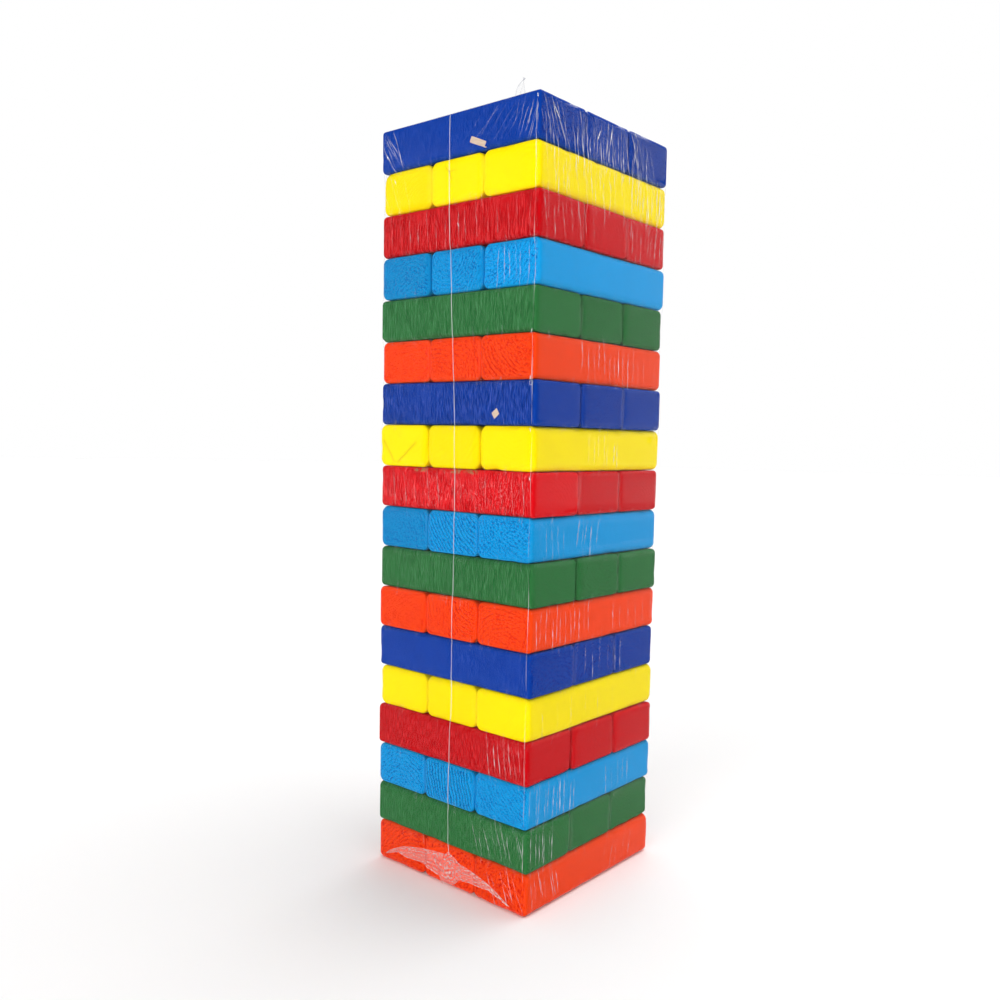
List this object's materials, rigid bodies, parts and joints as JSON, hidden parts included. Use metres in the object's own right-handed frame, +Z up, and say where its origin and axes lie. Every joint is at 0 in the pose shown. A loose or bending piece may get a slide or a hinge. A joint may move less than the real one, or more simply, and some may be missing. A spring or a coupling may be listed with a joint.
{
  "type": "tumbling tower",
  "caption": "Tall square tower of painted wooden blocks, three to a level and crossed level by level, in clear shrink film; each block slides out along its length.",
  "frame": {"origin": "middle of the tower's foot, on the surface that it stands on", "axes": "+Z up; blocks of even levels lie along X, blocks of odd levels lie along Y"},
  "size_m": [0.0758, 0.0762, 0.2732],
  "materials": {
    "orange_paint": "thin opaque paint, satin",
    "green_paint": "thin opaque paint, satin",
    "light_blue_paint": "thin opaque paint, satin",
    "red_paint": "thin opaque paint, satin",
    "yellow_paint": "thin opaque paint, satin",
    "blue_paint": "thin opaque paint, satin",
    "clear_film": "clear glossy film"
  },
  "bodies": {
    "level_01_orange_left": {"level_01_orange_left": "orange_paint"},
    "level_01_orange_middle": {"level_01_orange_middle": "orange_paint", "film_seam": "clear_film"},
    "level_01_orange_right": {"level_01_orange_right": "orange_paint"},
    "level_02_green_front": {"level_02_green_front": "green_paint"},
    "level_02_green_middle": {"level_02_green_middle": "green_paint"},
    "level_02_green_back": {"level_02_green_back": "green_paint"},
    "level_03_light_blue_left": {"level_03_light_blue_left": "light_blue_paint"},
    "level_03_light_blue_middle": {"level_03_light_blue_middle": "light_blue_paint"},
    "level_03_light_blue_right": {"level_03_light_blue_right": "light_blue_paint"},
    "level_04_red_front": {"level_04_red_front": "red_paint"},
    "level_04_red_middle": {"level_04_red_middle": "red_paint"},
    "level_04_red_back": {"level_04_red_back": "red_paint"},
    "level_05_yellow_left": {"level_05_yellow_left": "yellow_paint"},
    "level_05_yellow_middle": {"level_05_yellow_middle": "yellow_paint"},
    "level_05_yellow_right": {"level_05_yellow_right": "yellow_paint"},
    "level_06_blue_front": {"level_06_blue_front": "blue_paint"},
    "level_06_blue_middle": {"level_06_blue_middle": "blue_paint"},
    "level_06_blue_back": {"level_06_blue_back": "blue_paint"},
    "level_07_orange_left": {"level_07_orange_left": "orange_paint"},
    "level_07_orange_middle": {"level_07_orange_middle": "orange_paint"},
    "level_07_orange_right": {"level_07_orange_right": "orange_paint"},
    "level_08_green_front": {"level_08_green_front": "green_paint"},
    "level_08_green_middle": {"level_08_green_middle": "green_paint"},
    "level_08_green_back": {"level_08_green_back": "green_paint"},
    "level_09_light_blue_left": {"level_09_light_blue_left": "light_blue_paint"},
    "level_09_light_blue_middle": {"level_09_light_blue_middle": "light_blue_paint"},
    "level_09_light_blue_right": {"level_09_light_blue_right": "light_blue_paint"},
    "level_10_red_front": {"level_10_red_front": "red_paint"},
    "level_10_red_middle": {"level_10_red_middle": "red_paint"},
    "level_10_red_back": {"level_10_red_back": "red_paint"},
    "level_11_yellow_left": {"level_11_yellow_left": "yellow_paint"},
    "level_11_yellow_middle": {"level_11_yellow_middle": "yellow_paint"},
    "level_11_yellow_right": {"level_11_yellow_right": "yellow_paint"},
    "level_12_blue_front": {"level_12_blue_front": "blue_paint"},
    "level_12_blue_middle": {"level_12_blue_middle": "blue_paint"},
    "level_12_blue_back": {"level_12_blue_back": "blue_paint"},
    "level_13_orange_left": {"level_13_orange_left": "orange_paint"},
    "level_13_orange_middle": {"level_13_orange_middle": "orange_paint"},
    "level_13_orange_right": {"level_13_orange_right": "orange_paint"},
    "level_14_green_front": {"level_14_green_front": "green_paint"},
    "level_14_green_middle": {"level_14_green_middle": "green_paint"},
    "level_14_green_back": {"level_14_green_back": "green_paint"},
    "level_15_light_blue_left": {"level_15_light_blue_left": "light_blue_paint"},
    "level_15_light_blue_middle": {"level_15_light_blue_middle": "light_blue_paint"},
    "level_15_light_blue_right": {"level_15_light_blue_right": "light_blue_paint"},
    "level_16_red_front": {"level_16_red_front": "red_paint"},
    "level_16_red_middle": {"level_16_red_middle": "red_paint"},
    "level_16_red_back": {"level_16_red_back": "red_paint"},
    "level_17_yellow_left": {"level_17_yellow_left": "yellow_paint"},
    "level_17_yellow_middle": {"level_17_yellow_middle": "yellow_paint"},
    "level_17_yellow_right": {"level_17_yellow_right": "yellow_paint"},
    "level_18_blue_front": {"level_18_blue_front": "blue_paint"},
    "level_18_blue_middle": {"level_18_blue_middle": "blue_paint"},
    "level_18_blue_back": {"level_18_blue_back": "blue_paint"}
  },
  "joints": [
    {"name": "level_01_orange_left_slide", "type": "slide", "parent": "level_01_orange_middle", "child": "level_01_orange_left", "axis": [0, 1, 0], "range_m": [-0.076, 0.076]},
    {"name": "level_01_orange_right_slide", "type": "slide", "parent": "level_01_orange_middle", "child": "level_01_orange_right", "axis": [0, 1, 0], "range_m": [-0.076, 0.076]},
    {"name": "level_02_green_front_slide", "type": "slide", "parent": "level_01_orange_middle", "child": "level_02_green_front", "axis": [1, 0, 0], "range_m": [-0.076, 0.076]},
    {"name": "level_02_green_middle_slide", "type": "slide", "parent": "level_01_orange_middle", "child": "level_02_green_middle", "axis": [1, 0, 0], "range_m": [-0.076, 0.076]},
    {"name": "level_02_green_back_slide", "type": "slide", "parent": "level_01_orange_middle", "child": "level_02_green_back", "axis": [1, 0, 0], "range_m": [-0.076, 0.076]},
    {"name": "level_03_light_blue_left_slide", "type": "slide", "parent": "level_01_orange_middle", "child": "level_03_light_blue_left", "axis": [0, 1, 0], "range_m": [-0.076, 0.076]},
    {"name": "level_03_light_blue_middle_slide", "type": "slide", "parent": "level_01_orange_middle", "child": "level_03_light_blue_middle", "axis": [0, 1, 0], "range_m": [-0.076, 0.076]},
    {"name": "level_03_light_blue_right_slide", "type": "slide", "parent": "level_01_orange_middle", "child": "level_03_light_blue_right", "axis": [0, 1, 0], "range_m": [-0.076, 0.076]},
    {"name": "level_04_red_front_slide", "type": "slide", "parent": "level_01_orange_middle", "child": "level_04_red_front", "axis": [1, 0, 0], "range_m": [-0.076, 0.076]},
    {"name": "level_04_red_middle_slide", "type": "slide", "parent": "level_01_orange_middle", "child": "level_04_red_middle", "axis": [1, 0, 0], "range_m": [-0.076, 0.076]},
    {"name": "level_04_red_back_slide", "type": "slide", "parent": "level_01_orange_middle", "child": "level_04_red_back", "axis": [1, 0, 0], "range_m": [-0.076, 0.076]},
    {"name": "level_05_yellow_left_slide", "type": "slide", "parent": "level_01_orange_middle", "child": "level_05_yellow_left", "axis": [0, 1, 0], "range_m": [-0.076, 0.076]},
    {"name": "level_05_yellow_middle_slide", "type": "slide", "parent": "level_01_orange_middle", "child": "level_05_yellow_middle", "axis": [0, 1, 0], "range_m": [-0.076, 0.076]},
    {"name": "level_05_yellow_right_slide", "type": "slide", "parent": "level_01_orange_middle", "child": "level_05_yellow_right", "axis": [0, 1, 0], "range_m": [-0.076, 0.076]},
    {"name": "level_06_blue_front_slide", "type": "slide", "parent": "level_01_orange_middle", "child": "level_06_blue_front", "axis": [1, 0, 0], "range_m": [-0.076, 0.076]},
    {"name": "level_06_blue_middle_slide", "type": "slide", "parent": "level_01_orange_middle", "child": "level_06_blue_middle", "axis": [1, 0, 0], "range_m": [-0.076, 0.076]},
    {"name": "level_06_blue_back_slide", "type": "slide", "parent": "level_01_orange_middle", "child": "level_06_blue_back", "axis": [1, 0, 0], "range_m": [-0.076, 0.076]},
    {"name": "level_07_orange_left_slide", "type": "slide", "parent": "level_01_orange_middle", "child": "level_07_orange_left", "axis": [0, 1, 0], "range_m": [-0.076, 0.076]},
    {"name": "level_07_orange_middle_slide", "type": "slide", "parent": "level_01_orange_middle", "child": "level_07_orange_middle", "axis": [0, 1, 0], "range_m": [-0.076, 0.076]},
    {"name": "level_07_orange_right_slide", "type": "slide", "parent": "level_01_orange_middle", "child": "level_07_orange_right", "axis": [0, 1, 0], "range_m": [-0.076, 0.076]},
    {"name": "level_08_green_front_slide", "type": "slide", "parent": "level_01_orange_middle", "child": "level_08_green_front", "axis": [1, 0, 0], "range_m": [-0.076, 0.076]},
    {"name": "level_08_green_middle_slide", "type": "slide", "parent": "level_01_orange_middle", "child": "level_08_green_middle", "axis": [1, 0, 0], "range_m": [-0.076, 0.076]},
    {"name": "level_08_green_back_slide", "type": "slide", "parent": "level_01_orange_middle", "child": "level_08_green_back", "axis": [1, 0, 0], "range_m": [-0.076, 0.076]},
    {"name": "level_09_light_blue_left_slide", "type": "slide", "parent": "level_01_orange_middle", "child": "level_09_light_blue_left", "axis": [0, 1, 0], "range_m": [-0.076, 0.076]},
    {"name": "level_09_light_blue_middle_slide", "type": "slide", "parent": "level_01_orange_middle", "child": "level_09_light_blue_middle", "axis": [0, 1, 0], "range_m": [-0.076, 0.076]},
    {"name": "level_09_light_blue_right_slide", "type": "slide", "parent": "level_01_orange_middle", "child": "level_09_light_blue_right", "axis": [0, 1, 0], "range_m": [-0.076, 0.076]},
    {"name": "level_10_red_front_slide", "type": "slide", "parent": "level_01_orange_middle", "child": "level_10_red_front", "axis": [1, 0, 0], "range_m": [-0.076, 0.076]},
    {"name": "level_10_red_middle_slide", "type": "slide", "parent": "level_01_orange_middle", "child": "level_10_red_middle", "axis": [1, 0, 0], "range_m": [-0.076, 0.076]},
    {"name": "level_10_red_back_slide", "type": "slide", "parent": "level_01_orange_middle", "child": "level_10_red_back", "axis": [1, 0, 0], "range_m": [-0.076, 0.076]},
    {"name": "level_11_yellow_left_slide", "type": "slide", "parent": "level_01_orange_middle", "child": "level_11_yellow_left", "axis": [0, 1, 0], "range_m": [-0.076, 0.076]},
    {"name": "level_11_yellow_middle_slide", "type": "slide", "parent": "level_01_orange_middle", "child": "level_11_yellow_middle", "axis": [0, 1, 0], "range_m": [-0.076, 0.076]},
    {"name": "level_11_yellow_right_slide", "type": "slide", "parent": "level_01_orange_middle", "child": "level_11_yellow_right", "axis": [0, 1, 0], "range_m": [-0.076, 0.076]},
    {"name": "level_12_blue_front_slide", "type": "slide", "parent": "level_01_orange_middle", "child": "level_12_blue_front", "axis": [1, 0, 0], "range_m": [-0.076, 0.076]},
    {"name": "level_12_blue_middle_slide", "type": "slide", "parent": "level_01_orange_middle", "child": "level_12_blue_middle", "axis": [1, 0, 0], "range_m": [-0.076, 0.076]},
    {"name": "level_12_blue_back_slide", "type": "slide", "parent": "level_01_orange_middle", "child": "level_12_blue_back", "axis": [1, 0, 0], "range_m": [-0.076, 0.076]},
    {"name": "level_13_orange_left_slide", "type": "slide", "parent": "level_01_orange_middle", "child": "level_13_orange_left", "axis": [0, 1, 0], "range_m": [-0.076, 0.076]},
    {"name": "level_13_orange_middle_slide", "type": "slide", "parent": "level_01_orange_middle", "child": "level_13_orange_middle", "axis": [0, 1, 0], "range_m": [-0.076, 0.076]},
    {"name": "level_13_orange_right_slide", "type": "slide", "parent": "level_01_orange_middle", "child": "level_13_orange_right", "axis": [0, 1, 0], "range_m": [-0.076, 0.076]},
    {"name": "level_14_green_front_slide", "type": "slide", "parent": "level_01_orange_middle", "child": "level_14_green_front", "axis": [1, 0, 0], "range_m": [-0.076, 0.076]},
    {"name": "level_14_green_middle_slide", "type": "slide", "parent": "level_01_orange_middle", "child": "level_14_green_middle", "axis": [1, 0, 0], "range_m": [-0.076, 0.076]},
    {"name": "level_14_green_back_slide", "type": "slide", "parent": "level_01_orange_middle", "child": "level_14_green_back", "axis": [1, 0, 0], "range_m": [-0.076, 0.076]},
    {"name": "level_15_light_blue_left_slide", "type": "slide", "parent": "level_01_orange_middle", "child": "level_15_light_blue_left", "axis": [0, 1, 0], "range_m": [-0.076, 0.076]},
    {"name": "level_15_light_blue_middle_slide", "type": "slide", "parent": "level_01_orange_middle", "child": "level_15_light_blue_middle", "axis": [0, 1, 0], "range_m": [-0.076, 0.076]},
    {"name": "level_15_light_blue_right_slide", "type": "slide", "parent": "level_01_orange_middle", "child": "level_15_light_blue_right", "axis": [0, 1, 0], "range_m": [-0.076, 0.076]},
    {"name": "level_16_red_front_slide", "type": "slide", "parent": "level_01_orange_middle", "child": "level_16_red_front", "axis": [1, 0, 0], "range_m": [-0.076, 0.076]},
    {"name": "level_16_red_middle_slide", "type": "slide", "parent": "level_01_orange_middle", "child": "level_16_red_middle", "axis": [1, 0, 0], "range_m": [-0.076, 0.076]},
    {"name": "level_16_red_back_slide", "type": "slide", "parent": "level_01_orange_middle", "child": "level_16_red_back", "axis": [1, 0, 0], "range_m": [-0.076, 0.076]},
    {"name": "level_17_yellow_left_slide", "type": "slide", "parent": "level_01_orange_middle", "child": "level_17_yellow_left", "axis": [0, 1, 0], "range_m": [-0.076, 0.076]},
    {"name": "level_17_yellow_middle_slide", "type": "slide", "parent": "level_01_orange_middle", "child": "level_17_yellow_middle", "axis": [0, 1, 0], "range_m": [-0.076, 0.076], "deforming": ["film_seam"]},
    {"name": "level_17_yellow_right_slide", "type": "slide", "parent": "level_01_orange_middle", "child": "level_17_yellow_right", "axis": [0, 1, 0], "range_m": [-0.076, 0.076]},
    {"name": "level_18_blue_front_slide", "type": "slide", "parent": "level_01_orange_middle", "child": "level_18_blue_front", "axis": [1, 0, 0], "range_m": [-0.076, 0.076]},
    {"name": "level_18_blue_middle_slide", "type": "slide", "parent": "level_01_orange_middle", "child": "level_18_blue_middle", "axis": [1, 0, 0], "range_m": [-0.076, 0.076]},
    {"name": "level_18_blue_back_slide", "type": "slide", "parent": "level_01_orange_middle", "child": "level_18_blue_back", "axis": [1, 0, 0], "range_m": [-0.076, 0.076]}
  ]
}
